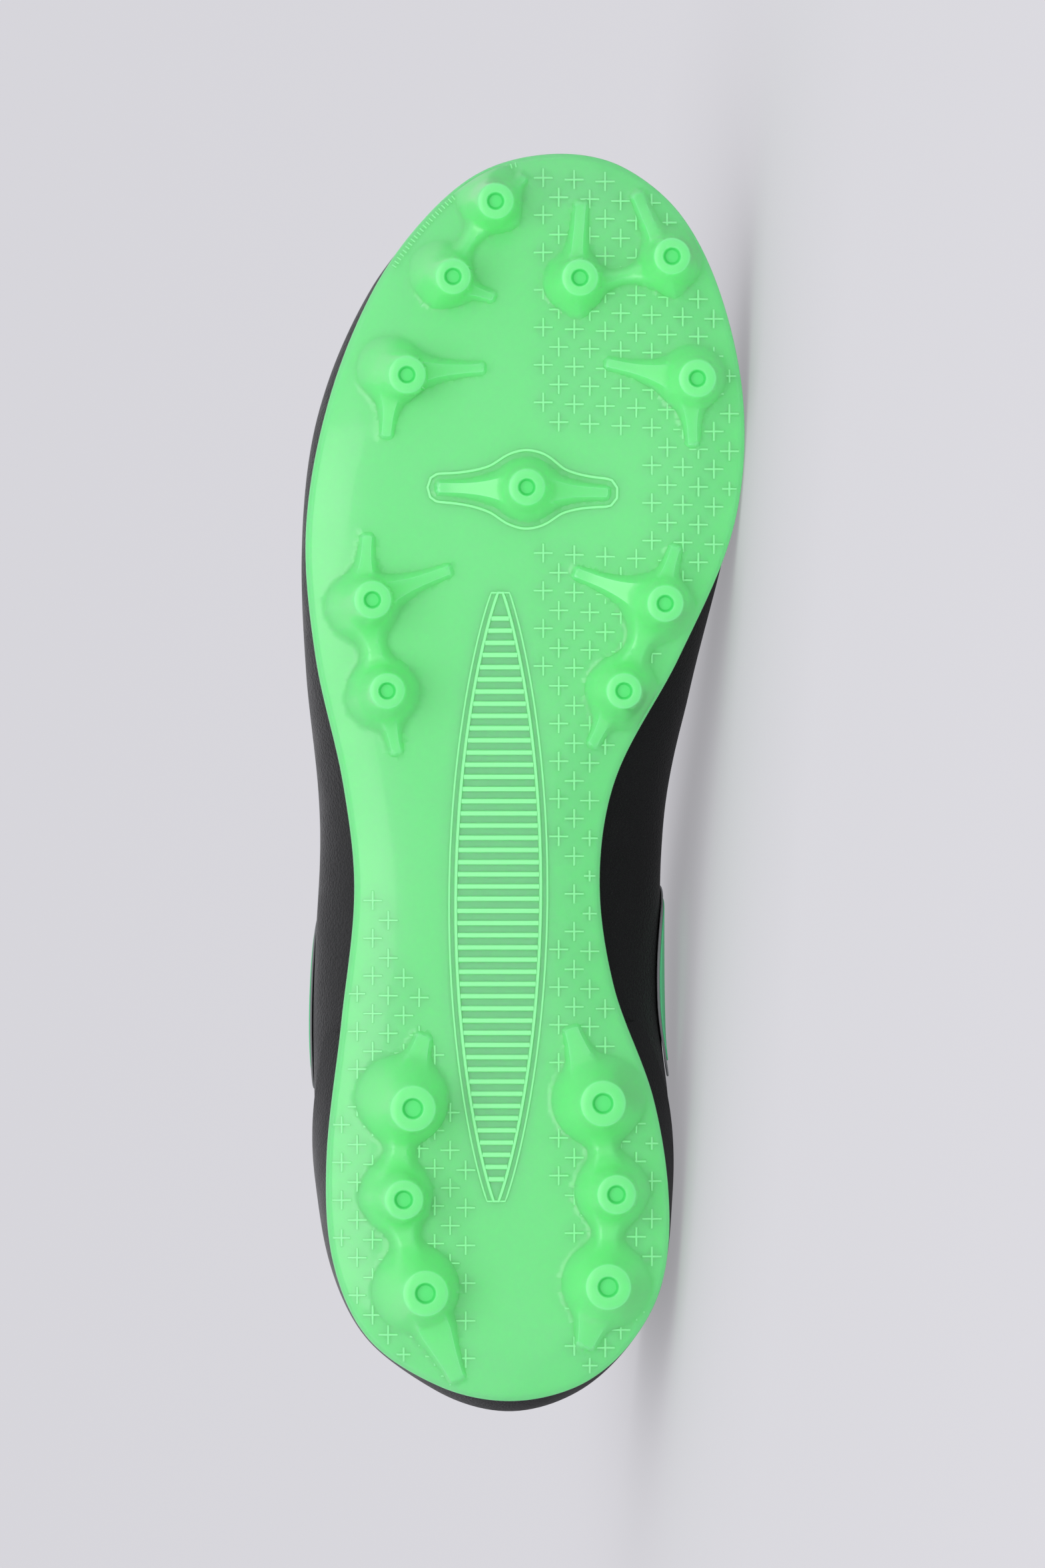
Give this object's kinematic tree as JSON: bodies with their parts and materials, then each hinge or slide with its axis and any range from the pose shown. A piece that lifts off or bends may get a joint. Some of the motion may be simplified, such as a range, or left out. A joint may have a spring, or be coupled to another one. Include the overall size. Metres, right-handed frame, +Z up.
{
  "type": "soccer cleat",
  "caption": "Low-cut laced soccer cleat for the right foot, with a moulded studded sole and an open collar, lying on its inner side.",
  "frame": {"origin": "centre of the bounding box at its base, on the floor that the shoe lies on", "axes": "+X along the shoe towards the toe, +Y from the sole towards the collar, +Z up, away from the floor, so that the outer side of the shoe faces up"},
  "size_m": [0.2848, 0.105, 0.0967],
  "materials": {
    "outsole": "moulded green plastic, satin gloss",
    "insole": "black knitted cover over foam",
    "upper": "black fine-grained, satin",
    "heel_counter": "black, satin",
    "eyestay": "black, satin",
    "collar_lining": "black padded cloth",
    "tongue": "black padded cloth",
    "laces": "black flat braid",
    "side_panel_inner": "green film",
    "side_panel_outer": "green film"
  },
  "bodies": {
    "root": {"outsole": "outsole", "insole": "insole", "upper": "upper", "heel_counter": "heel_counter", "eyestay": "eyestay", "collar_lining": "collar_lining", "tongue": "tongue", "laces": "laces", "side_panel_inner": "side_panel_inner", "side_panel_outer": "side_panel_outer"}
  },
  "joints": []
}
